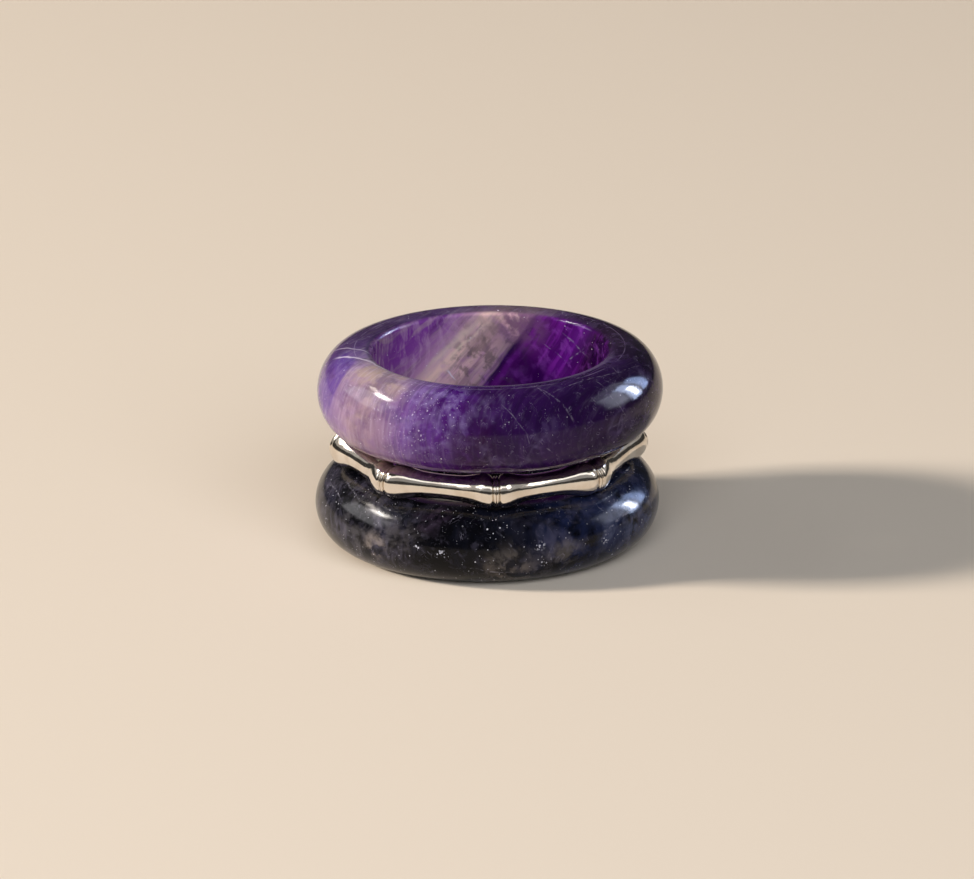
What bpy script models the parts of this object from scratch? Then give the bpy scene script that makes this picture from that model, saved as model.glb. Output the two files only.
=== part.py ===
"""A stack of three finger rings: two domed stone bands with a bamboo-pattern silver band between them.

Metres, +Z up. The stack lies on its side, as it rests on a table. The origin is the middle of its footprint.
"""

from math import atan2, cos, hypot, pi, radians, sin

import bmesh
import bpy

# Stone bands. Both are turned to one outline, and only their heights differ.
BORE_RADIUS = 0.0086
OUTER_RADIUS = 0.01264
LOWER_HEIGHT = 0.00562
UPPER_HEIGHT = 0.00626

# The outline of a band rises from the bore over a rounded lip to a narrow flat crest, and then falls away
# in a full dome to the widest circle at half height.
LIP_WIDTH = 0.00070
LIP_DROP = 0.00040
CREST_WIDTH = 0.00024
DOME_SPREAD = 2.36
DOME_FULLNESS = 1.92

# The bands of the stack lie this far to either side of the common axis: upper to +X, lower to -X.
STACK_SHIFT = 0.00015

# Silver band: round straight canes, end to end, each with a slim waist and a swollen rounded end.
# Places of the joints round the axis, in degrees from +X. The canes are cut by hand, so two of them differ in length.
JOINT_ANGLES = (-87.5, -45.5, 2.5, 47.5, 92.5, 137.5, 182.5, 227.5)
WAIST_RADIUS = 0.00090
SWELL_RADIUS = 0.00125
# Free space between the bore line of the stones and the inside of the canes at their waists.
WAIST_CLEARANCE = 0.00022
# Between two canes runs a groove with two fine raised rings in it.
GROOVE_WIDTH = 0.00044
GROOVE_RADIUS = 0.00101
RING_RADIUS = 0.00113

# Room between a swollen cane end and the stone that it lies against.
SEAT_GAP = 0.00006

STONE_SIDES = 64
LIP_STEPS = 3
DOME_STEPS = 7
CANE_SIDES = 16
SEAT_STEPS = 60

# Stations along half a cane, from the groove wall to the waist.
# run: share of that length. swell: share of the way from the waist radius to the swollen radius.
CANE_STATIONS = (
    # run, swell
    (0.00, 0.25),
    (0.015, 0.58),
    (0.04, 0.83),
    (0.08, 0.97),
    (0.13, 1.00),
    (0.20, 0.97),
    (0.29, 0.82),
    (0.45, 0.42),
    (0.66, 0.11),
    (1.00, 0.00),
)

# Stations across half the groove, from its middle to its wall.
# run: share of half the groove's width. rise: share of the way from the groove's floor to a fine ring's top.
GROOVE_STATIONS = (
    # run, rise
    (0.00, 0.0),
    (0.32, 1.0),
    (0.64, 1.0),
    (0.92, 0.0),
)

# The flat crest of a stone band ends here, and its dome begins.
DOME_START = BORE_RADIUS + LIP_WIDTH + CREST_WIDTH

# The middle line of a cane is nearest to the axis at the waist. It meets the next cane's at the joint, and all the
# joints are this far from the axis.
JOINT_RADIUS = (BORE_RADIUS + WAIST_CLEARANCE + WAIST_RADIUS) / cos(pi / len(JOINT_ANGLES))


def clear_scene():
    """Removes every object that the open scene holds."""
    for obj in list(bpy.data.objects):
        bpy.data.objects.remove(obj, do_unlink=True)


def make_material(name, colour, roughness, metallic):
    """Returns a Principled material of one linear RGB colour."""
    material = bpy.data.materials.new(name)
    material.use_nodes = True
    shader = material.node_tree.nodes["Principled BSDF"]
    shader.inputs["Base Color"].default_value = (*colour, 1.0)
    shader.inputs["Roughness"].default_value = roughness
    shader.inputs["Metallic"].default_value = metallic
    material.diffuse_color = (*colour, 1.0)
    return material


def add_piece(name, mesh_data, material, location):
    """Adds a smooth-shaded object made of mesh_data, a bmesh that it uses up."""
    bmesh.ops.recalc_face_normals(mesh_data, faces=mesh_data.faces)
    mesh = bpy.data.meshes.new(name)
    mesh_data.to_mesh(mesh)
    mesh_data.free()
    mesh.shade_smooth()
    mesh.set_sharp_from_angle(angle=radians(40))
    mesh.materials.append(material)
    piece = bpy.data.objects.new(name, mesh)
    piece.location = location
    bpy.context.scene.collection.objects.link(piece)
    return piece


def dome_height(radius, height):
    """Height of a band's dome above its middle plane, at a radius from the crest outwards."""
    reach = min(max((radius - DOME_START) / (OUTER_RADIUS - DOME_START), 0.0), 1.0)
    return height / 2 * (1 - reach**DOME_SPREAD) ** (1 / DOME_FULLNESS)


def upper_outline(height):
    """(radius, z) points of the top half of a band's outline, from the bore wall out to the widest circle."""
    points = []
    for step in range(LIP_STEPS + 1):
        turn = pi / 2 * step / LIP_STEPS
        radius = BORE_RADIUS + LIP_WIDTH * (1 - cos(turn))
        points.append((radius, height / 2 - LIP_DROP * (1 - sin(turn))))
    for step in range(DOME_STEPS + 1):
        turn = pi / 2 * step / DOME_STEPS
        radius = DOME_START + (OUTER_RADIUS - DOME_START) * sin(turn) ** (2 / DOME_SPREAD)
        points.append((radius, height / 2 * cos(turn) ** (2 / DOME_FULLNESS)))
    return points


def make_stone_band(name, height, material, location):
    """Turns a band's closed outline once round the axis."""
    top = upper_outline(height)
    widest = (OUTER_RADIUS, 0.0)
    below = [(radius, -z) for radius, z in reversed(top[:-1])]
    outline = [*top[:-1], widest, *below]
    turned = bmesh.new()
    corners = [turned.verts.new((radius, 0.0, z)) for radius, z in outline]
    edges = [turned.edges.new((corner, corners[index - 1])) for index, corner in enumerate(corners)]
    bmesh.ops.spin(
        turned,
        geom=corners + edges,
        cent=(0, 0, 0),
        axis=(0, 0, 1),
        dvec=(0, 0, 0),
        angle=2 * pi,
        steps=STONE_SIDES,
        use_merge=True,
    )
    return add_piece(name, turned, material, location)


def canes():
    """(middle angle, half length, waist distance from the axis) of each cane: a straight line from joint to joint."""
    ends = [*JOINT_ANGLES[1:], JOINT_ANGLES[0] + 360]
    lines = []
    for start, end in zip(JOINT_ANGLES, ends):
        half_angle = radians(end - start) / 2
        lines.append((radians(start + end) / 2, JOINT_RADIUS * sin(half_angle), JOINT_RADIUS * cos(half_angle)))
    return lines


def cane_half(half_length):
    """(distance from the joint, radius) stations from the middle of a joint to the middle of a cane."""
    wall = GROOVE_WIDTH / 2
    stations = []
    for run, rise in GROOVE_STATIONS:
        radius = GROOVE_RADIUS + (RING_RADIUS - GROOVE_RADIUS) * rise
        stations.append((run * wall, radius))
    for run, swell in CANE_STATIONS:
        radius = WAIST_RADIUS + (SWELL_RADIUS - WAIST_RADIUS) * swell
        stations.append((wall + run * (half_length - wall), radius))
    return stations


def cane_stations(half_length):
    """The stations of one cane, from joint to joint, without the last, which the next cane starts with."""
    half = cane_half(half_length)
    other_half = [(2 * half_length - distance, radius) for distance, radius in reversed(half[1:-1])]
    return half + other_half


def section_reach(along, waist, radius, turn):
    """Distance from the band's axis of a point of a cane's section, this far along the cane from its middle.

    A plane through the band's axis cuts the section at a slant, so it is wider than it is high.
    """
    centre = hypot(waist, along)
    return centre + radius * centre / waist * cos(turn)


def seat_height(height):
    """Distance between the middle planes of a stone band of this height and the silver band lying on it."""
    highest = 0.0
    for _, half_length, waist in canes():
        for distance, radius in cane_half(half_length):
            for step in range(SEAT_STEPS + 1):
                turn = pi * step / SEAT_STEPS
                reach = section_reach(half_length - distance, waist, radius, turn) - STACK_SHIFT
                highest = max(highest, dome_height(reach, height) + radius * sin(turn))
    return highest + SEAT_GAP


def make_bamboo_band(name, material, location):
    """Joins the sections of all the canes, end to end, into one closed ring."""
    ring = bmesh.new()
    rows = []
    for middle, half_length, waist in canes():
        for distance, radius in cane_stations(half_length):
            angle = middle + atan2(distance - half_length, waist)
            row = []
            for side in range(CANE_SIDES):
                turn = 2 * pi * side / CANE_SIDES
                reach = section_reach(distance - half_length, waist, radius, turn)
                row.append(ring.verts.new((reach * cos(angle), reach * sin(angle), radius * sin(turn))))
            rows.append(row)
    for index, row in enumerate(rows):
        before = rows[index - 1]
        for side in range(CANE_SIDES):
            ring.faces.new((before[side], row[side], row[side - 1], before[side - 1]))
    return add_piece(name, ring, material, location)


def build():
    """Makes the three bands and stacks them from the table up."""
    clear_scene()
    amethyst = make_material("polished amethyst", (0.145, 0.040, 0.260), 0.12, 0.0)
    iolite = make_material("polished dark iolite", (0.020, 0.022, 0.045), 0.12, 0.0)
    silver = make_material("polished cast silver", (0.830, 0.790, 0.730), 0.10, 1.0)

    lower_z = LOWER_HEIGHT / 2
    silver_z = lower_z + seat_height(LOWER_HEIGHT)
    upper_z = silver_z + seat_height(UPPER_HEIGHT)
    make_stone_band("lower_stone_band", LOWER_HEIGHT, iolite, (-STACK_SHIFT, 0.0, lower_z))
    make_bamboo_band("bamboo_band", silver, (0.0, 0.0, silver_z))
    make_stone_band("upper_stone_band", UPPER_HEIGHT, amethyst, (STACK_SHIFT, 0.0, upper_z))


build()
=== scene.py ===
"""Looks of a stack of three finger rings: an amethyst band, a silver bamboo band and a dark iolite band.

Sizes are in metres. Patterns inside the stones are laid out in millimetres from the middle of each band,
and the camera looks along +Y. A share is a number from 0 to 1.
"""

from math import atan2, cos, hypot, pi, radians, sin, tan
from types import SimpleNamespace

import bmesh
import bpy
from mathutils import Matrix, Vector


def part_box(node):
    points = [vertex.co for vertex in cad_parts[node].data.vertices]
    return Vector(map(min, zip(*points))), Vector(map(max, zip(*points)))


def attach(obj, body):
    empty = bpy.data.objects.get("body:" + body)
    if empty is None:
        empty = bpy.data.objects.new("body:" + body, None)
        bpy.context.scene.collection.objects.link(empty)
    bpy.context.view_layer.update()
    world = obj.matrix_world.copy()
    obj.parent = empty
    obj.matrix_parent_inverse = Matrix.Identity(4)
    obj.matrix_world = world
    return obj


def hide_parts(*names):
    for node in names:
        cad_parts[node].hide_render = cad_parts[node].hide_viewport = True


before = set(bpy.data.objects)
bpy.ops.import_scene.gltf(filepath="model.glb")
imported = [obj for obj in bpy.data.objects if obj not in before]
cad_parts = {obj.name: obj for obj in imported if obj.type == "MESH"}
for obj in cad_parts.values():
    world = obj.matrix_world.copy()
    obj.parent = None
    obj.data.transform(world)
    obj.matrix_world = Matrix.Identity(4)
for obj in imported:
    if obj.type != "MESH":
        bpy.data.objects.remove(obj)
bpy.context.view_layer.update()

MM = 0.001

# Camera, fitted to the outlines of the bands in the photograph.
PICTURE_WIDTH = 974  # pixels
FOCAL_LENGTH = 5452.5  # pixels
SENSOR_WIDTH = 36.0
CAMERA_LIFT = 18.824  # degrees above the table
CAMERA_ROLL = -0.663  # degrees
CAMERA_AIM = (-0.119, 0.0, 7.313)  # millimetres
CAMERA_DISTANCE = 0.4

# Outline of both stone bands, as in the part's source.
BORE_RADIUS = 8.60 * MM
LIP_WIDTH = 0.70 * MM
LIP_DROP = 0.40 * MM
CREST_WIDTH = 0.24 * MM
DOME_SPREAD = 2.36
DOME_FULLNESS = 1.92
STONE_SIDES = 240
LIP_STEPS = 8
DOME_STEPS = 26
BORE_STEPS = 6

# Canes of the silver band, as in the part's source.
JOINT_ANGLES = (-87.5, -45.5, 2.5, 47.5, 92.5, 137.5, 182.5, 227.5)
JOINT_RADIUS = 9.72 * MM / cos(pi / len(JOINT_ANGLES))
WAIST_RADIUS = 0.90 * MM
SWELL_RADIUS = 1.25 * MM
GROOVE_WIDTH = 0.44 * MM
GROOVE_RADIUS = 1.01 * MM
RING_RADIUS = 1.13 * MM
RING_MIDDLE = 0.50  # middle of a fine ring, as a share of the way from the groove's middle to its wall
RING_SPREAD = 0.46  # half its width, as the same share
CANE_SIDES = 56
CANE_STEPS = 44
CANE_CROWDING = 1.7  # above 1, the steps crowd towards the swollen ends
RING_STEPS = 10

# Profile of half a cane, from the groove wall to the waist.
# run: share of that length. swell: share of the way from the waist radius to the swollen radius.
CANE_PROFILE = (
    # run, swell
    (0.00, 0.22),
    (0.015, 0.50),
    (0.04, 0.76),
    (0.08, 0.93),
    (0.14, 1.00),
    (0.21, 0.97),
    (0.29, 0.82),
    (0.45, 0.42),
    (0.66, 0.11),
    (1.00, 0.00),
)

# Edges that turn by more than this many degrees are shaded sharp.
SHARP_EDGE = 40

# Middle of a stone's section, in millimetres from the axis. Healed cracks run towards it.
CORE_RADIUS = 10.6

# Radii in millimetres: where the colours of the bore give way to those of the outside, and the crest's edge,
# along which a highlight line is painted.
BORE_COLOUR_START = 8.65
BORE_COLOUR_END = 8.95
CREST_EDGE = 9.88


def linear(code):
    """Linear RGBA of an sRGB hex colour."""
    shares = [int(code[place : place + 2], 16) / 255 for place in (1, 3, 5)]
    return (*[c / 12.92 if c <= 0.04045 else ((c + 0.055) / 1.055) ** 2.4 for c in shares], 1.0)


def add(tree, kind, *values, out=0, inputs=None, **settings):
    """Adds a node of one kind and returns one of its outputs.

    values fill its inputs in order, and inputs fills them by name.
    """
    node = tree.nodes.new("ShaderNode" + kind)
    for key, value in settings.items():
        setattr(node, key, value)
    for key, value in [*enumerate(values), *(inputs or {}).items()]:
        if isinstance(value, bpy.types.NodeSocket):
            tree.links.new(value, node.inputs[key])
        elif value is not None:
            node.inputs[key].default_value = value
    return node.outputs[out]


def new_material(name):
    """Returns a new material, its node tree and its Principled shader."""
    material = bpy.data.materials.new(name)
    material.use_nodes = True
    return material, material.node_tree, material.node_tree.nodes["Principled BSDF"]


# Camera
def set_camera():
    """Sets the camera to the photograph's viewing angle: about 19 degrees above the table."""
    lift = radians(CAMERA_LIFT)
    roll = radians(CAMERA_ROLL)
    aim = Vector(CAMERA_AIM) * MM
    back = Vector((0.0, -cos(lift), sin(lift)))
    right = Vector((1.0, 0.0, 0.0))
    up = Vector((0.0, sin(lift), cos(lift)))
    turned_right = right * cos(roll) + up * sin(roll)
    turned_up = up * cos(roll) - right * sin(roll)
    facing = Matrix((turned_right, turned_up, back)).transposed().to_4x4()
    data = bpy.data.cameras.new("camera")
    data.sensor_width = SENSOR_WIDTH
    data.lens = FOCAL_LENGTH * SENSOR_WIDTH / PICTURE_WIDTH
    data.clip_start = 0.01
    data.clip_end = 20.0
    camera = bpy.data.objects.new("camera", data)
    camera.matrix_world = Matrix.Translation(aim + CAMERA_DISTANCE * back) @ facing
    bpy.context.scene.collection.objects.link(camera)
    bpy.context.scene.camera = camera


set_camera()


# Meshes
def add_piece(name, mesh_data, material, centre, node):
    """Adds a smooth-shaded piece that stands for a CAD node."""
    bmesh.ops.recalc_face_normals(mesh_data, faces=mesh_data.faces)
    mesh = bpy.data.meshes.new(name)
    mesh_data.to_mesh(mesh)
    mesh_data.free()
    mesh.shade_smooth()
    mesh.set_sharp_from_angle(angle=radians(SHARP_EDGE))
    mesh.materials.append(material)
    piece = bpy.data.objects.new(name, mesh)
    piece.location = centre
    bpy.context.scene.collection.objects.link(piece)
    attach(piece, "root")
    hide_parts(node)
    return piece


def stone_outline(height, outer):
    """(radius, z) points of the top half of a stone band's outline, from bore to widest circle."""
    rise = height / 2
    points = [(BORE_RADIUS, (rise - LIP_DROP) * step / BORE_STEPS) for step in range(1, BORE_STEPS)]
    for step in range(LIP_STEPS + 1):
        turn = pi / 2 * step / LIP_STEPS
        points.append((BORE_RADIUS + LIP_WIDTH * (1 - cos(turn)), rise - LIP_DROP * (1 - sin(turn))))
    start = BORE_RADIUS + LIP_WIDTH + CREST_WIDTH
    for step in range(DOME_STEPS):
        turn = pi / 2 * step / DOME_STEPS
        radius = start + (outer - start) * sin(turn) ** (2 / DOME_SPREAD)
        points.append((radius, rise * cos(turn) ** (2 / DOME_FULLNESS)))
    return points


def make_stone_band(name, node, material):
    """Turns a stone band's outline once round, in the place of its CAD node."""
    lowest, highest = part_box(node)
    outer = (highest.x - lowest.x) / 2
    top = stone_outline(highest.z - lowest.z, outer)
    outline = [(BORE_RADIUS, 0.0), *top, (outer, 0.0), *[(radius, -z) for radius, z in reversed(top)]]
    turned = bmesh.new()
    rows = []
    for side in range(STONE_SIDES):
        angle = 2 * pi * side / STONE_SIDES
        across, deep = cos(angle), sin(angle)
        rows.append([turned.verts.new((radius * across, radius * deep, z)) for radius, z in outline])
    for side, row in enumerate(rows):
        before = rows[side - 1]
        for place in range(len(row)):
            turned.faces.new((before[place - 1], row[place - 1], row[place], before[place]))
    return add_piece(name, turned, material, (lowest + highest) / 2, node)


def swell_at(run):
    """Share of the swell at a share of the run, on a smooth curve through CANE_PROFILE."""
    knots = CANE_PROFILE
    slopes = [(b[1] - a[1]) / (b[0] - a[0]) for a, b in zip(knots, knots[1:])]
    ends = [slopes[0]]
    for before, after in zip(slopes, slopes[1:]):
        ends.append(2 * before * after / (before + after) if before * after > 0 else 0.0)
    ends.append(0.0)
    for place in range(len(knots) - 1):
        (start, low), (end, high) = knots[place], knots[place + 1]
        if run <= end:
            length = end - start
            share = (run - start) / length
            rest = 1 - share
            return (
                low * rest * rest * (1 + 2 * share)
                + high * share * share * (1 + 2 * rest)
                + ends[place] * length * share * rest * rest
                - ends[place + 1] * length * share * share * rest
            )
    return knots[-1][1]


def cane_half(half_length):
    """(distance from the joint, radius) stations from the middle of a joint to the middle of a cane."""
    wall = GROOVE_WIDTH / 2
    stations = [(0.0, GROOVE_RADIUS)]
    for step in range(RING_STEPS + 1):
        turn = pi * step / RING_STEPS
        radius = GROOVE_RADIUS + (RING_RADIUS - GROOVE_RADIUS) * sin(turn)
        stations.append((wall * (RING_MIDDLE - RING_SPREAD * cos(turn)), radius))
    for step in range(CANE_STEPS + 1):
        run = (step / CANE_STEPS) ** CANE_CROWDING
        radius = WAIST_RADIUS + (SWELL_RADIUS - WAIST_RADIUS) * swell_at(run)
        stations.append((wall + run * (half_length - wall), radius))
    return stations


def make_bamboo_band(name, node, material):
    """Joins the round sections of all the canes, end to end, into one closed ring."""
    lowest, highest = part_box(node)
    ring = bmesh.new()
    rows = []
    for start, end in zip(JOINT_ANGLES, [*JOINT_ANGLES[1:], JOINT_ANGLES[0] + 360]):
        middle, half_angle = radians(start + end) / 2, radians(end - start) / 2
        half_length, waist = JOINT_RADIUS * sin(half_angle), JOINT_RADIUS * cos(half_angle)
        half = cane_half(half_length)
        far_half = [(2 * half_length - distance, radius) for distance, radius in reversed(half[1:-1])]
        for distance, radius in half + far_half:
            angle = middle + atan2(distance - half_length, waist)
            centre = hypot(waist, distance - half_length)
            row = []
            for side in range(CANE_SIDES):
                turn = 2 * pi * side / CANE_SIDES
                reach = centre + radius * centre / waist * cos(turn)
                row.append(ring.verts.new((reach * cos(angle), reach * sin(angle), radius * sin(turn))))
            rows.append(row)
    for index, row in enumerate(rows):
        before = rows[index - 1]
        for side in range(CANE_SIDES):
            ring.faces.new((before[side], row[side], row[side - 1], before[side - 1]))
    return add_piece(name, ring, material, (0.0, 0.0, (lowest.z + highest.z) / 2), node)


# Patterns inside the stones, in millimetres
def range_share(tree, value, start, end, low=0.0, high=1.0):
    """Turns value from start..end into low..high with soft ends."""
    return add(tree, "MapRange", value, start, end, low, high, interpolation_type="SMOOTHSTEP")


def product(tree, *shares):
    """Product of shares."""
    result = shares[0]
    for share in shares[1:]:
        result = add(tree, "Math", result, share, operation="MULTIPLY")
    return result


def place_in_piece(tree):
    """Place inside a piece in millimetres from its middle, as a vector."""
    here = add(tree, "TexCoord", out="Object")
    return add(tree, "VectorMath", here, (1 / MM, 1 / MM, 1 / MM), operation="MULTIPLY")


def swirled(tree, place, grain, reach):
    """Place pushed about by up to reach mm, in swirls of grain mm."""
    push = add(tree, "TexNoise", place, out="Color", inputs={"Scale": 1 / grain, "Detail": 2.0})
    push = add(tree, "VectorMath", push, (0.5, 0.5, 0.5), operation="SUBTRACT")
    push = add(tree, "VectorMath", push, (reach, reach, reach), operation="MULTIPLY")
    return add(tree, "VectorMath", place, push, operation="ADD")


def clouds(tree, place, grain, low, high, detail=4.0, stretch=None):
    """Clouds of grain mm: 0 where the noise is under low, 1 where it is over high."""
    if stretch:
        place = add(tree, "VectorMath", place, stretch, operation="MULTIPLY")
    settings = {"Scale": 1 / grain, "Detail": detail, "Roughness": 0.55}
    return range_share(tree, add(tree, "TexNoise", place, inputs=settings), low, high)


def patch(tree, place, centre, reach):
    """A soft round patch: 1 near its centre, 0 beyond reach mm from it."""
    far = add(tree, "VectorMath", place, centre, operation="DISTANCE", out="Value")
    return range_share(tree, far, reach, reach * 0.35)


def specks(tree, place, spacing, size, share):
    """Small crystals about spacing mm apart, up to size mm across, in that share of the cells."""
    near = add(tree, "TexVoronoi", place, out="Distance", inputs={"Scale": 1 / spacing})
    dice = add(tree, "SeparateColor", near.node.outputs["Color"])
    reach = add(tree, "MapRange", dice, 1 - share, 1.0, 0.0, size / spacing)
    return add(tree, "Math", near, reach, operation="LESS_THAN")


def veil(tree, place, start, end, width):
    """A healed crack, which shows as a line width mm wide on the surface, from start to end.

    It lies in the plane of those two points and the stone's core.
    """
    start, end = Vector(start), Vector(end)
    middle = (start + end) / 2
    core = Vector((middle.x, middle.y, 0.0)).normalized() * CORE_RADIUS
    facing = (end - start).cross(core - middle).normalized()
    off = add(tree, "VectorMath", place, tuple(facing), operation="DOT_PRODUCT", out="Value")
    off = add(tree, "Math", off, middle.dot(facing), operation="SUBTRACT")
    off = add(tree, "Math", off, operation="ABSOLUTE")
    line = range_share(tree, off, width, 0.0)
    return product(tree, line, patch(tree, place, tuple(middle), (end - start).length * 0.72))


def sheets(tree, place, facing, spacing, reach, sharp, low=0.56, high=0.70):
    """Short stretches of thin flat sheets that face one way, spacing mm apart and reach mm long."""
    across = add(tree, "VectorMath", place, facing, operation="DOT_PRODUCT", out="Value")
    steps = product(tree, across, 1 / spacing)
    across = add(tree, "VectorMath", facing, inputs={"Scale": steps}, operation="SCALE")
    squeezed = add(tree, "VectorMath", place, (1 / reach,) * 3, across, operation="MULTIPLY_ADD")
    noise = add(tree, "TexNoise", squeezed, inputs={"Scale": 1.0, "Detail": 2.0, "Roughness": 0.6})
    ridge = add(tree, "Math", noise, 0.5, operation="SUBTRACT")
    ridge = add(tree, "Math", ridge, operation="ABSOLUTE")
    stretches = clouds(tree, place, reach * 0.6, low, high)
    return product(tree, range_share(tree, ridge, sharp, 0.0), stretches)


def finish_stone(tree, shader, place, gloss, smooth, worn):
    """Hand polish: nearly a mirror, with faint waves that break the edges of reflections.

    Quartz and iolite both have an IOR near 1.54. The roughness wanders from smooth to worn.
    """
    shader.inputs["IOR"].default_value = 1.54
    shader.inputs["Specular IOR Level"].default_value = gloss
    wear = clouds(tree, place, 0.6, 0.3, 0.7)
    tree.links.new(add(tree, "MapRange", wear, 0.0, 1.0, smooth, worn), shader.inputs["Roughness"])
    waves = add(tree, "TexNoise", place, inputs={"Scale": 1.6, "Detail": 4.0, "Roughness": 0.55})
    bump = add(tree, "Bump", inputs={"Strength": 1.0, "Distance": 0.006 * MM, "Height": waves})
    tree.links.new(bump, shader.inputs["Normal"])


def painted(tree, below, share, colour):
    """Lays a colour over another by a share."""
    return add(tree, "MixRGB", share, below, linear(colour) if isinstance(colour, str) else colour)


def cloudy_patches(tree, below, fine_place, soft_place, rows):
    """Lays soft round patches with clouds in them over a colour."""
    for centre, reach, grain, low, high, detail, strength, code in rows:
        cloud = clouds(tree, fine_place, grain, low, high, detail)
        share = product(tree, cloud, patch(tree, soft_place, centre, reach), strength)
        below = painted(tree, below, share, code)
    return below


def cracked(tree, below, line_place, broken, veils, code):
    """Lays healed cracks over a colour, broken into short stretches."""
    for start, end, width, strength in veils:
        line = veil(tree, line_place, start, end, width)
        below = painted(tree, below, product(tree, line, broken, strength), code)
    return below


def speckled(tree, below, place, patches, rows, strength, code):
    """Lays small crystals over a colour, where patches lets them show."""
    for spacing, size, share in rows:
        dots = specks(tree, place, spacing, size, share)
        below = painted(tree, below, product(tree, dots, patches, strength), code)
    return below


def moved(tree, place, steps):
    """Place moved by steps mm, so that a second pattern doesn't fall on the first."""
    return add(tree, "VectorMath", place, steps, operation="ADD")


def zone_colours(tree, zone, stops):
    """Colour by distance in mm across the growth zones."""
    first, last = stops[0][0], stops[-1][0]
    ramp = add(tree, "ValToRGB", add(tree, "MapRange", zone, first, last))
    band = ramp.node.color_ramp
    for index, (distance, code) in enumerate(stops):
        at = (distance - first) / (last - first)
        stop = band.elements[index] if index < 2 else band.elements.new(at)
        stop.position = at
        stop.color = linear(code)
    return ramp


# Amethyst
# Growth zones cross the band on a slant. A place's zone is its distance in mm along this direction,
# plus a little that grows with y times z, because real zones aren't quite flat.
ZONE_FACING = (0.888, -0.461, -0.390)
ZONE_TWIST = -0.034
ZONE_ALONG = (0.461, 0.888, 0.0)
OUTER_ZONES = (
    # mm, colour
    (-13.0, "#574478"),
    (-9.6, "#6d5290"),
    (-8.4, "#8a72a2"),
    (-6.4, "#a88f9f"),
    (-4.4, "#ac9496"),
    (-2.4, "#9a8096"),
    (-0.5, "#755492"),
    (2.0, "#44126e"),
    (4.5, "#2d0c44"),
    (8.5, "#2c1044"),
    (13.0, "#1b0c26"),
)
# Colours across the bore's growth zones, painted lighter where light comes through the stone.
BORE_ZONES_WITH_PAINTED_LIGHT = (
    # mm, colour
    (-13.0, "#6c2f8e"),
    (-8.6, "#86489c"),
    (-7.2, "#bc8cb4"),
    (-6.4, "#f0ccc4"),
    (-4.6, "#d8b0b6"),
    (-2.75, "#9c7c90"),
    (-2.60, "#2a0a46"),
    (-2.00, "#4c1060"),
    (0.5, "#3c0656"),
    (2.2, "#480a68"),
    (4.0, "#16021f"),
    (13.0, "#10021c"),
)
# Clouds at one place: centre, reach, cloud grain, cloud start, cloud end, detail, strength, colour.
OUTER_PATCHES = (
    ((-4.4, -11.0, 1.2), 4.4, 0.9, 0.40, 0.66, 4.0, 0.50, "#a092c4"),
    ((-4.8, -11.6, -0.8), 3.2, 1.6, 0.45, 0.60, 4.0, 0.70, "#482374"),
    ((-8.3, -7.0, 2.6), 4.2, 1.8, 0.42, 0.58, 4.0, 0.75, "#b09a8c"),
    ((-1.2, -12.2, -0.6), 3.0, 1.2, 0.30, 0.46, 4.0, 0.94, "#22072a"),
)
BORE_PATCHES = (
    ((-0.6, 8.6, -0.4), 3.8, 0.9, 0.46, 0.62, 4.0, 0.60, "#4d4448"),
    ((-0.6, 8.6, 1.9), 2.6, 1.3, 0.42, 0.58, 4.0, 0.45, "#b8949a"),
    ((2.4, 8.3, 2.3), 2.9, 0.9, 0.26, 0.56, 5.0, 0.80, "#5e3c64"),
)
# Sets of thin flat inclusions: facing, spacing, length, width, strength.
AMETHYST_SHEETS = (
    ((0.85, -0.30, -0.43), 0.8, 2.0, 0.011, 0.22),
    ((-0.55, 0.35, 0.76), 0.8, 1.6, 0.011, 0.18),
    ((0.70, 0.40, 0.59), 0.8, 1.2, 0.011, 0.24),
    ((0.50, -0.70, 0.51), 0.4, 0.9, 0.018, 0.22),
    ((-0.75, -0.45, 0.48), 0.4, 1.0, 0.018, 0.20),
)
# Healed cracks: start and end on the surface, line width, strength.
AMETHYST_VEILS = (
    ((4.5, -9.9, 2.8), (9.7, -5.3, 2.8), 0.07, 0.20),
    ((9.2, -5.8, 2.8), (11.6, -2.2, 2.2), 0.06, 0.18),
    ((3.4, -9.6, 3.1), (6.0, -11.0, 0.8), 0.11, 0.18),
    ((3.4, -9.6, 3.1), (4.9, -11.4, 1.3), 0.07, 0.16),
    ((7.2, -7.4, 3.1), (8.7, -8.4, 1.9), 0.07, 0.23),
    ((8.7, -8.4, 1.9), (9.6, -8.1, 0.5), 0.06, 0.18),
    ((8.0, -3.8, 3.0), (9.5, -6.2, 2.6), 0.06, 0.18),
    ((0.8, -11.5, 2.5), (2.5, -12.3, 0.7), 0.07, 0.18),
    ((2.5, -12.3, 0.7), (2.8, -12.3, -0.6), 0.06, 0.14),
    ((3.5, -12.1, -0.1), (4.3, -11.7, -1.0), 0.06, 0.18),
    ((-10.5, -5.4, 2.3), (-9.2, -7.4, 2.2), 0.07, 0.23),
    ((-4.2, -10.9, 2.4), (-2.5, -11.0, 2.7), 0.06, 0.18),
    ((5.6, 6.5, 1.9), (7.1, 4.9, 0.8), 0.10, 0.16),
    ((5.7, 6.4, -0.2), (6.9, 5.2, 1.2), 0.08, 0.16),
    ((4.1, 7.5, 0.8), (5.7, 6.4, -0.2), 0.07, 0.14),
)
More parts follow.
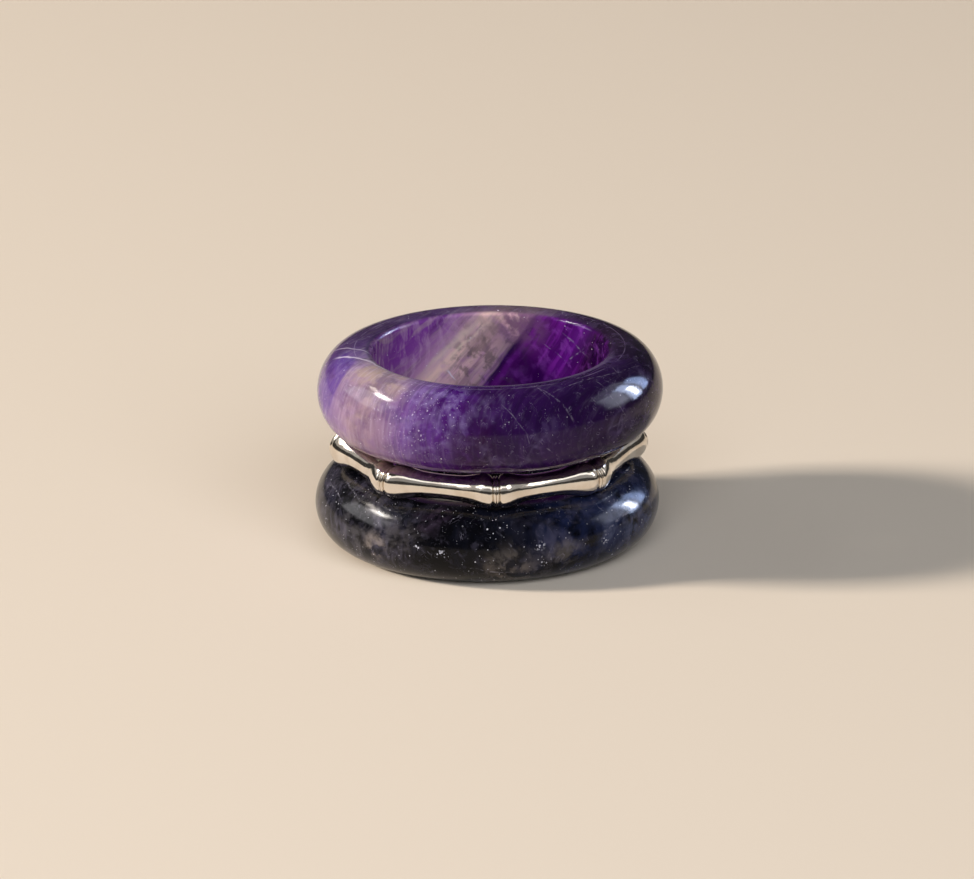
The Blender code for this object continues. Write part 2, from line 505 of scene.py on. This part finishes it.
# Bright unbroken lines, painted highlights and pale streaks: start and end on the surface, line width,
# strength, colour.
AMETHYST_HIGHLIGHTS_AND_STREAKS = (
    # Painted highlights: three wavy glints on the left of the crest.
    ((-11.2, -1.1, 2.7), (-8.7, -3.0, 3.1), 0.17, 0.85, "#ded2e2"),
    ((-9.2, -2.6, 3.1), (-7.2, -5.3, 3.1), 0.13, 0.75, "#ded2e2"),
    ((-11.0, 0.8, 2.8), (-8.9, -0.9, 3.1), 0.14, 0.60, "#ded2e2"),
    # A painted glint in the bore.
    ((-3.3, 7.9, -1.3), (-2.6, 8.2, -1.9), 0.09, 0.90, "#ded2e2"),
    # Pale streaks in the bore, along its pale slab.
    ((-4.4, 7.4, -0.6), (-0.9, 8.55, 2.3), 0.36, 0.45, "#e8d4c4"),
    ((-3.0, 8.06, -0.2), (-0.2, 8.6, 2.2), 0.16, 0.35, "#ecdccb"),
)
# Broad smoky sheets: facing.
AMETHYST_SMOKE = ((0.80, 0.30, -0.52), (0.45, -0.60, 0.66))
# Small crystals: spacing, size, share of the cells that hold one.
AMETHYST_SPECKS = ((0.26, 0.045, 0.30), (0.70, 0.08, 0.25))


def amethyst_places(tree):
    """Places and distances that the amethyst's patterns are laid out by."""
    place = place_in_piece(tree)
    soft = swirled(tree, place, 4.5, 1.6)
    fine = swirled(tree, soft, 0.8, 0.5)
    line = swirled(tree, place, 1.6, 0.30)
    x, y, z = [add(tree, "SeparateXYZ", place, out=axis) for axis in "XYZ"]
    flat = add(tree, "VectorMath", place, (1.0, 1.0, 0.0), operation="MULTIPLY")
    radius = add(tree, "VectorMath", flat, operation="LENGTH", out="Value")
    twist = product(tree, y, z, ZONE_TWIST)
    rough_zone = add(tree, "VectorMath", fine, ZONE_FACING, operation="DOT_PRODUCT", out="Value")
    rough_zone = add(tree, "Math", rough_zone, twist, operation="ADD")
    clean_zone = add(tree, "VectorMath", line, ZONE_FACING, operation="DOT_PRODUCT", out="Value")
    clean_zone = add(tree, "Math", clean_zone, twist, operation="ADD")
    along = add(tree, "VectorMath", fine, ZONE_ALONG, operation="DOT_PRODUCT", out="Value")
    # Growth layers are thin across the zones, and long along them.
    thin = product(tree, clean_zone, 2.4)
    layered = add(tree, "CombineXYZ", thin, product(tree, along, 0.25), product(tree, z, 0.3))
    return SimpleNamespace(
        place=place,
        soft=soft,
        fine=fine,
        line=line,
        x=x,
        y=y,
        z=z,
        radius=radius,
        rough_zone=rough_zone,
        clean_zone=clean_zone,
        layered=layered,
    )


def amethyst_outside(tree, at):
    """Colour of the amethyst's dome and lips, with painted shade and painted highlights laid over it."""
    colour = zone_colours(tree, at.rough_zone, OUTER_ZONES)
    colour = cloudy_patches(tree, colour, at.fine, at.soft, OUTER_PATCHES)

    # A violet corner with a clean edge.
    corner = add(tree, "VectorMath", at.line, (-12.2, -2.4, 1.6), operation="DISTANCE", out="Value")
    corner = range_share(tree, corner, 3.1, 2.7)
    corner = product(tree, corner, clouds(tree, at.fine, 1.5, 0.30, 0.52), 0.75)
    colour = painted(tree, colour, corner, "#5c4494")

    # Light and dark mottling.
    mottle = clouds(tree, at.fine, 1.3, 0.46, 0.68)
    mottle = product(tree, mottle, range_share(tree, at.rough_zone, 9.0, 1.0), 0.26)
    colour = painted(tree, colour, mottle, "#6c3a9e")
    shade = clouds(tree, moved(tree, at.fine, (7.0, 3.0, 5.0)), 1.8, 0.46, 0.64)
    colour = painted(tree, colour, product(tree, shade, 0.40), "#2c1446")

    # Growth layers: milky ones in the pale zones, and dark ones in the deep zones.
    layers = clouds(tree, at.layered, 1.3, 0.50, 0.74)
    milky = range_share(tree, at.clean_zone, 2.0, -3.0)
    colour = painted(tree, colour, product(tree, layers, milky, 0.17), "#cdbccb")
    fine_layers = clouds(tree, at.layered, 0.5, 0.50, 0.70, detail=5.0)
    milky = range_share(tree, at.clean_zone, 4.0, -3.0, 0.03, 0.24)
    colour = painted(tree, colour, product(tree, fine_layers, milky), "#d6c6d4")
    dark_layers = clouds(tree, moved(tree, at.layered, (3.0, 8.0, 2.0)), 1.2, 0.48, 0.62)
    deep = range_share(tree, at.clean_zone, -6.0, 3.0, 0.10, 0.45)
    colour = painted(tree, colour, product(tree, dark_layers, deep), "#1c0930")

    # Painted shade: darker low on the left, on the far side and, most of all, at the right.
    painted_shade_low_left = range_share(tree, at.radius, 10.2, 12.2)
    painted_shade_low_left = product(tree, painted_shade_low_left, range_share(tree, at.x, 2.0, -5.0), 0.42)
    colour = painted(tree, colour, painted_shade_low_left, "#4a2060")
    painted_shade_far_side = range_share(tree, at.y, -4.0, 4.0)
    colour = painted(tree, colour, product(tree, painted_shade_far_side, 0.66), "#332038")
    painted_shade_far_right = patch(tree, at.place, (10.4, 5.6, 2.0), 7.5)
    colour = painted(tree, colour, product(tree, painted_shade_far_right, 0.60), "#190b1e")
    painted_shade_near_right = patch(tree, at.soft, (10.4, -0.8, 2.9), 3.6)
    colour = painted(tree, colour, product(tree, painted_shade_near_right, 0.45), "#140b18")

    # Painted highlights: pale lines round the crest and the lip, where the light catches the turned edges.
    edge = add(tree, "Math", at.radius, CREST_EDGE, operation="SUBTRACT")
    edge = add(tree, "Math", edge, operation="ABSOLUTE")
    edge = product(tree, range_share(tree, edge, 0.05, 0.0), range_share(tree, at.z, 2.6, 2.9))
    edge = product(tree, edge, clouds(tree, at.place, 1.6, 0.38, 0.58), 0.35)
    colour = painted(tree, colour, edge, "#b3a2c6")
    # The lip's painted highlight, on the near side only.
    lip = range_share(tree, at.radius, 9.45, 9.15)
    lip = product(tree, lip, range_share(tree, at.y, 0.0, -5.0), 0.30)
    return painted(tree, colour, lip, "#8f7fa0")


def amethyst_bore(tree, at):
    """Colour of the amethyst's bore: its own zones and clouds, painted lighter where light comes through the
    stone.
    """
    colour = zone_colours(tree, at.clean_zone, BORE_ZONES_WITH_PAINTED_LIGHT)
    streaks = clouds(tree, at.layered, 1.5, 0.46, 0.66, detail=5.0)
    colour = painted(tree, colour, product(tree, streaks, 0.24), "#8a2cb0")
    gloom = clouds(tree, moved(tree, at.layered, (5.0, 2.0, 1.0)), 1.9, 0.48, 0.62)
    colour = painted(tree, colour, product(tree, gloom, 0.38), "#24043a")
    glow = clouds(tree, at.fine, 1.0, 0.50, 0.72)
    colour = painted(tree, colour, product(tree, glow, 0.25), "#9a4cc0")
    comb = clouds(tree, at.fine, 0.55, 0.44, 0.66, stretch=(1.0, 1.0, 0.25))
    comb = product(tree, comb, range_share(tree, at.clean_zone, -6.0, -7.4), 0.50)
    colour = painted(tree, colour, comb, "#c49ac4")
    pale_layers = clouds(tree, at.layered, 0.9, 0.48, 0.66)
    pale_slab = range_share(tree, at.clean_zone, -2.2, -3.4)
    colour = painted(tree, colour, product(tree, pale_layers, pale_slab, 0.35), "#c4aaa8")
    return cloudy_patches(tree, colour, at.fine, at.soft, BORE_PATCHES)


def make_amethyst():
    """Polished amethyst: clear purple quartz with milky growth zones, healed cracks and small crystals.

    Real cracks and crystals are finer than a pixel, so they are drawn as coarse as they need to show.
    """
    material, tree, shader = new_material("polished amethyst")
    at = amethyst_places(tree)
    in_bore = range_share(tree, at.radius, BORE_COLOUR_END, BORE_COLOUR_START)
    colour = painted(tree, amethyst_outside(tree, at), in_bore, amethyst_bore(tree, at))

    broken = clouds(tree, at.place, 0.35, 0.42, 0.66)
    colour = cracked(tree, colour, at.line, broken, AMETHYST_VEILS, "#d6c8dc")
    # Painted highlights and pale streaks, drawn as unbroken bright lines.
    wavy = swirled(tree, at.place, 1.4, 0.7)
    for start, end, width, strength, code in AMETHYST_HIGHLIGHTS_AND_STREAKS:
        bright_line = veil(tree, wavy, start, end, width)
        colour = painted(tree, colour, product(tree, bright_line, strength), code)

    outside = range_share(tree, at.radius, 8.7, 9.2)
    for facing, spacing, reach, sharp, strength in AMETHYST_SHEETS:
        sheet = sheets(tree, at.line, facing, spacing, reach, sharp)
        colour = painted(tree, colour, product(tree, sheet, outside, strength), "#cdbfdc")
    for facing in AMETHYST_SMOKE:
        smoke = sheets(tree, at.fine, facing, spacing=2.2, reach=4.0, sharp=0.075, low=0.46, high=0.62)
        colour = painted(tree, colour, product(tree, smoke, outside, 0.10), "#8b7aa8")

    sparkle = specks(tree, at.fine, spacing=0.17, size=0.060, share=0.40)
    sparkle = product(tree, sparkle, patch(tree, at.soft, (-5.6, -10.4, 1.4), 4.2), 0.42)
    colour = painted(tree, colour, sparkle, "#e2d8ea")
    patches = clouds(tree, at.place, 2.2, 0.44, 0.60)
    colour = speckled(tree, colour, at.place, patches, AMETHYST_SPECKS, 0.7, "#e6dcea")

    tree.links.new(colour, shader.inputs["Base Color"])
    finish_stone(tree, shader, at.place, gloss=0.16, smooth=0.09, worn=0.14)
    # A little light scatters under the surface and softens the pale zones.
    shader.inputs["Subsurface Weight"].default_value = 0.35
    shader.inputs["Subsurface Radius"].default_value = (0.7, 0.4, 0.8)
    shader.inputs["Subsurface Scale"].default_value = 0.6 * MM
    return material


# Dark iolite
# Clusters of small white crystals: centre, reach.
IOLITE_CLUSTERS = (
    ((3.7, -12.0, 0.6), 0.55),
    ((4.1, -11.9, -0.7), 0.60),
    ((8.5, -9.4, 0.0), 0.45),
    ((-3.4, -12.2, 0.0), 0.50),
    ((-5.0, -11.5, 0.4), 0.40),
)
# Sets of thin flat inclusions: facing, length, strength.
IOLITE_SHEETS = (
    ((0.80, -0.20, 0.56), 1.6, 0.22),
    ((-0.62, 0.30, 0.72), 2.2, 0.20),
    ((0.30, 0.90, 0.32), 1.4, 0.16),
)
# Navy clouds at one place: centre, reach, cloud grain, cloud start, cloud end, detail, strength, colour.
IOLITE_BLUE = ((7.0, -9.8, 1.8), 4.0, 1.4, 0.42, 0.66, 4.0, 0.7, "#1d2444")
# Hazes, and last two dark pools: centre, reach, strength, colour.
IOLITE_HAZES = (
    ((9.6, -8.0, 0.4), 3.0, 0.48, "#565a72"),
    ((11.2, -5.4, 0.6), 2.8, 0.45, "#50587c"),
    ((5.9, -11.2, 0.0), 1.8, 0.50, "#5a5450"),
    ((-8.1, -9.7, -0.3), 1.3, 0.75, "#8c8078"),
    ((1.4, -12.3, -1.3), 2.8, 0.60, "#6a625e"),
    ((-9.2, -8.2, 0.4), 4.4, 0.38, "#5b585e"),
    ((-11.6, -3.4, 1.0), 2.6, 0.40, "#55525e"),
    ((4.2, -11.8, -0.6), 2.4, 0.35, "#4c4850"),
    ((-6.4, -10.6, 0.6), 2.4, 0.26, "#5e595c"),
    ((-4.2, -10.8, 2.4), 1.8, 0.30, "#4a3c50"),
    ((8.0, -9.0, -2.0), 2.4, 0.60, "#14141c"),
    ((0.6, -12.1, 1.6), 2.0, 0.60, "#08080d"),
)
# Clouds inside the hazes.
HAZE_GRAIN = 0.9
HAZE_START = 0.40
HAZE_END = 0.66
HAZE_DETAIL = 6.0
# Healed cracks: start and end on the surface, line width, strength.
IOLITE_VEILS = (
    ((-11.4, -2.6, 2.2), (-10.6, -5.4, 1.9), 0.08, 0.35),
    ((-10.2, -3.6, 2.6), (-9.4, -6.6, 2.4), 0.10, 0.30),
    ((0.8, -12.2, 1.6), (1.9, -12.4, 0.4), 0.10, 0.30),
    ((-1.0, -12.4, -1.0), (1.4, -12.1, -1.4), 0.09, 0.35),
    ((8.4, -9.2, 0.6), (11.0, -5.4, 1.4), 0.14, 0.45),
)
# Broad smoky sheets: facing.
IOLITE_SMOKE = ((0.80, 0.30, -0.52), (0.70, -0.60, 0.40))
# Small crystals: spacing, size, share of the cells that hold one.
IOLITE_SPECKS = ((0.20, 0.042, 0.45), (0.45, 0.07, 0.40))


def make_iolite():
    """Polished dark iolite: near black with a navy body, grey-lilac clouds and bright mica specks.

    Real mica specks are finer than a pixel, so they are drawn as coarse as they need to show.
    """
    material, tree, shader = new_material("polished dark iolite")
    place = place_in_piece(tree)
    soft = swirled(tree, place, 4.5, 2.0)
    fine = swirled(tree, soft, 0.8, 0.5)
    line = swirled(tree, place, 1.6, 0.35)
    x = add(tree, "SeparateXYZ", soft)

    colour = painted(tree, linear("#050508"), clouds(tree, fine, 3.0, 0.46, 0.68), "#0d0f1a")
    navy = range_share(tree, x, 1.0, 7.0)
    navy = product(tree, navy, clouds(tree, fine, 2.4, 0.36, 0.60), 0.85)
    colour = painted(tree, colour, navy, "#1a2140")
    hazes = [
        (centre, reach, HAZE_GRAIN, HAZE_START, HAZE_END, HAZE_DETAIL, strength, code)
        for centre, reach, strength, code in IOLITE_HAZES
    ]
    colour = cloudy_patches(tree, colour, fine, soft, [IOLITE_BLUE, *hazes])
    lilac = clouds(tree, fine, 2.0, 0.54, 0.78)
    colour = painted(tree, colour, product(tree, lilac, 0.10), "#5a5568")
    fibres = clouds(tree, fine, 0.6, 0.54, 0.76, stretch=(1.0, 0.4, 1.0))
    colour = painted(tree, colour, product(tree, fibres, 0.10), "#77728a")

    broken = clouds(tree, place, 0.35, 0.40, 0.66)
    colour = cracked(tree, colour, line, broken, IOLITE_VEILS, "#a9a6b6")
    for facing, reach, strength in IOLITE_SHEETS:
        sheet = sheets(tree, line, facing, spacing=0.8, reach=reach, sharp=0.011)
        colour = painted(tree, colour, product(tree, sheet, strength), "#a39eb4")
    off_centre = add(tree, "Math", x, 1.0, operation="ADD")
    off_centre = add(tree, "Math", off_centre, operation="ABSOLUTE")
    sides = range_share(tree, off_centre, 2.0, 7.0)
    for facing in IOLITE_SMOKE:
        smoke = sheets(tree, fine, facing, spacing=2.0, reach=3.6, sharp=0.09, low=0.44, high=0.60)
        colour = painted(tree, colour, product(tree, smoke, sides, 0.14), "#6f6a80")

    crystals = specks(tree, place, spacing=0.17, size=0.11, share=0.75)
    for centre, reach in IOLITE_CLUSTERS:
        cluster = product(tree, patch(tree, place, centre, reach), crystals, 0.8)
        colour = painted(tree, colour, cluster, "#b9b9c6")
    patches = clouds(tree, place, 2.4, 0.40, 0.56)
    colour = speckled(tree, colour, place, patches, IOLITE_SPECKS, 0.85, "#d0d0da")

    tree.links.new(colour, shader.inputs["Base Color"])
    finish_stone(tree, shader, place, gloss=0.15, smooth=0.13, worn=0.19)
    return material


# Silver
def make_silver():
    """Polished cast silver: a bright warm mirror with faint marks, soft waves and a little tarnish.

    Real polishing marks are finer than a pixel, so they are drawn about 0.2 mm wide.
    """
    material, tree, shader = new_material("polished cast silver")
    shader.inputs["Metallic"].default_value = 1.0
    place = place_in_piece(tree)
    marks = add(tree, "TexNoise", place, inputs={"Scale": 6.0, "Detail": 3.0})
    roughness = add(tree, "MapRange", marks, 0.35, 0.65, 0.08, 0.13)
    tree.links.new(roughness, shader.inputs["Roughness"])
    tarnish = clouds(tree, place, 1.3, 0.42, 0.66)
    colour = painted(tree, linear("#eae4dc"), product(tree, tarnish, 0.40), "#cbbba6")
    tree.links.new(colour, shader.inputs["Base Color"])
    waves = add(tree, "TexNoise", place, inputs={"Scale": 0.9, "Detail": 2.0})
    bump = add(tree, "Bump", inputs={"Distance": 0.012 * MM, "Height": waves})
    tree.links.new(bump, shader.inputs["Normal"])
    return material


dark_band = make_stone_band("dark_band", "lower_stone_band", make_iolite())
silver_band = make_bamboo_band("silver_band", "bamboo_band", make_silver())
amethyst_band = make_stone_band("amethyst_band", "upper_stone_band", make_amethyst())


# Floor and light
FLOOR_RADIUS = 4.0
CARD_DISTANCE = 1.2
LIGHT_CENTRE = 7 * MM  # height that the cards face

# Soft boxes. Azimuth 0 is behind the camera, and 90 is to its right. Azimuth, elevation, width and height
# are in degrees as seen from the object. Lit: it lights surfaces. Mirrored: it shows in polished ones.
CARDS = (
    # name, azimuth, elevation, width, height, glow, colour, use, pieces it reaches
    ("sun side", -88, 24, 8, 8, 226, "#fff6eb", "lit", "all"),
    ("front fill", 10, 36, 60, 36, 3.5, "#eff6ff", "lit", "all"),
    ("left window", -100, 29, 40, 22, 5.0, "#f4f1f4", "mirrored", "stones"),
    ("left strip", -113, 45, 26, 3, 26, "#fff4e6", "mirrored", "all"),
    ("left core", -102, 44, 15, 6, 60, "#fff8f0", "mirrored", "all"),
    ("right window", 115, 20, 11, 30, 18, "#c4d6ff", "mirrored", "stones"),
    ("right window core", 117, 17, 4, 16, 80, "#f2f5ff", "mirrored", "stones"),
    ("right window edge", 129, 19, 9, 26, 10, "#b4ccff", "mirrored", "stones"),
    ("right window far side", 96, 23, 20, 22, 4.5, "#e4eaff", "mirrored", "stones"),
    ("right window haze", 108, 26, 34, 36, 2.4, "#dfe4f4", "mirrored", "amethyst"),
    ("front wall", 0, 33, 100, 22, 0.30, "#ece9e6", "mirrored", "silver"),
    ("front wall top", 0, 50, 100, 12, 1.35, "#fbf8f4", "mirrored", "silver"),
    ("left wall", -110, 34, 110, 34, 0.42, "#f4efe8", "mirrored", "silver"),
    ("right wall", 110, 33, 110, 34, 0.36, "#ece9e6", "mirrored", "silver"),
    ("left silver window", -132, 35, 40, 12, 2.2, "#fffaf4", "mirrored", "silver"),
    ("left front silver window", -60, 38, 14, 22, 2.2, "#fdfbf8", "mirrored", "silver"),
    ("right front silver window", 60, 36, 14, 22, 2.0, "#fdfbf8", "mirrored", "silver"),
    ("right silver window", 132, 34, 24, 14, 1.6, "#f6f4f4", "mirrored", "silver"),
)


def make_floor():
    """A plain pale floor of matt painted board."""
    material, _, shader = new_material("matt painted board")
    shader.inputs["Base Color"].default_value = linear("#eedfcd")
    shader.inputs["Roughness"].default_value = 0.7
    disc = bmesh.new()
    bmesh.ops.create_circle(disc, cap_ends=True, radius=FLOOR_RADIUS, segments=96)
    mesh = bpy.data.meshes.new("floor")
    disc.to_mesh(mesh)
    disc.free()
    mesh.materials.append(material)
    floor = bpy.data.objects.new("floor", mesh)
    bpy.context.scene.collection.objects.link(floor)


def set_room():
    """A dim room around the table, with colours shown as they are."""
    world = bpy.data.worlds.new("room")
    world.use_nodes = True
    air = world.node_tree.nodes["Background"]
    air.inputs["Color"].default_value = linear("#4c4a48")
    air.inputs["Strength"].default_value = 0.6
    bpy.context.scene.world = world
    bpy.context.scene.view_settings.view_transform = "Standard"


def reached(name, *pieces):
    """A collection of the only pieces that a card reaches."""
    collection = bpy.data.collections.new(name)
    for piece in pieces:
        collection.objects.link(piece)
    return collection


def add_card(name, azimuth, elevation, wide, high, glow, colour, use, pieces):
    """A soft box: a rectangle that spans wide by high degrees, and shines at glow."""
    data = bpy.data.lights.new(name, "AREA")
    data.shape = "RECTANGLE"
    data.size = 2 * CARD_DISTANCE * tan(radians(wide / 2))
    data.size_y = 2 * CARD_DISTANCE * tan(radians(high / 2))
    data.energy = glow * pi * data.size * data.size_y
    data.color = linear(colour)[:3]
    card = bpy.data.objects.new(name, data)
    side, lift = radians(azimuth), radians(elevation)
    towards = Vector((sin(side) * cos(lift), -cos(side) * cos(lift), sin(lift)))
    card.location = towards * CARD_DISTANCE + Vector((0, 0, LIGHT_CENTRE))
    card.rotation_euler = towards.to_track_quat("Z", "Y").to_euler()
    card.visible_camera = False
    card.visible_diffuse = use == "lit"
    card.visible_glossy = use == "mirrored"
    bpy.context.scene.collection.objects.link(card)
    if pieces:
        card.light_linking.receiver_collection = pieces


make_floor()
set_room()
reach = {
    "all": None,
    "silver": reached("silver only", silver_band),
    "stones": reached("stones only", dark_band, amethyst_band),
    "amethyst": reached("amethyst only", amethyst_band),
}
for *card, pieces in CARDS:
    add_card(*card, reach[pieces])
